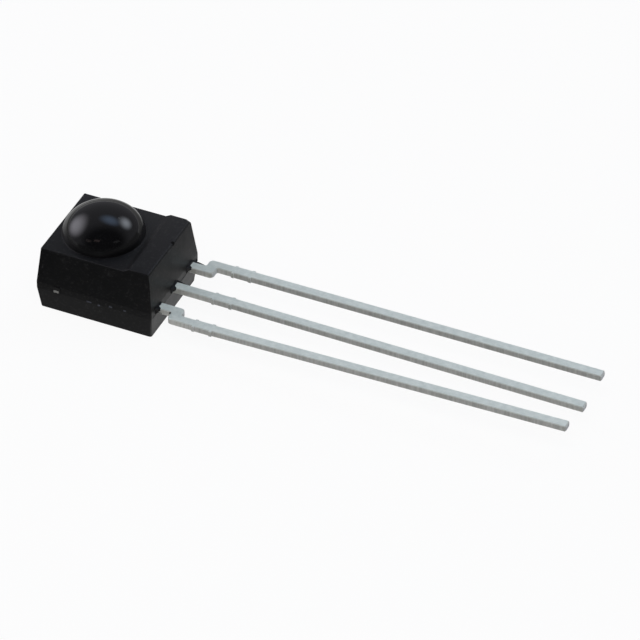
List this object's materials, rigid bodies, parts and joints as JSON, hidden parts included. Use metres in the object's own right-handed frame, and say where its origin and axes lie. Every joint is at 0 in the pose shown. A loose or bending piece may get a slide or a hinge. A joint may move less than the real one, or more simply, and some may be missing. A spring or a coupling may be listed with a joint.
{
  "type": "infrared receiver module",
  "caption": "Dark epoxy infrared receiver with a domed lens on its face and a row of flat tin-plated leads from one end.",
  "frame": {"origin": "centre of the body's outline, on its flat back face", "axes": "+Z points out through the lens, +X runs along the leads to their tips, and the supply lead is on the +Y side"},
  "size_m": [0.0311, 0.006, 0.0056],
  "materials": {
    "dark_epoxy": "glossy on the lens, satin as moulded elsewhere",
    "tinned_steel": "matt tin plate, slightly mottled",
    "silicon": "polished",
    "die_adhesive": "silver-filled, cured",
    "bond_wire": "drawn gold wire"
  },
  "bodies": {
    "root": {"moulded_body": "dark_epoxy", "output_lead": "tinned_steel", "ground_lead": "tinned_steel", "supply_lead": "tinned_steel", "photodiode_die": "silicon", "receiver_die": "silicon", "photodiode_adhesive": "die_adhesive", "receiver_adhesive": "die_adhesive", "output_wire": "bond_wire", "supply_wire": "bond_wire", "ground_wire": "bond_wire", "photodiode_wire": "bond_wire"}
  },
  "joints": []
}
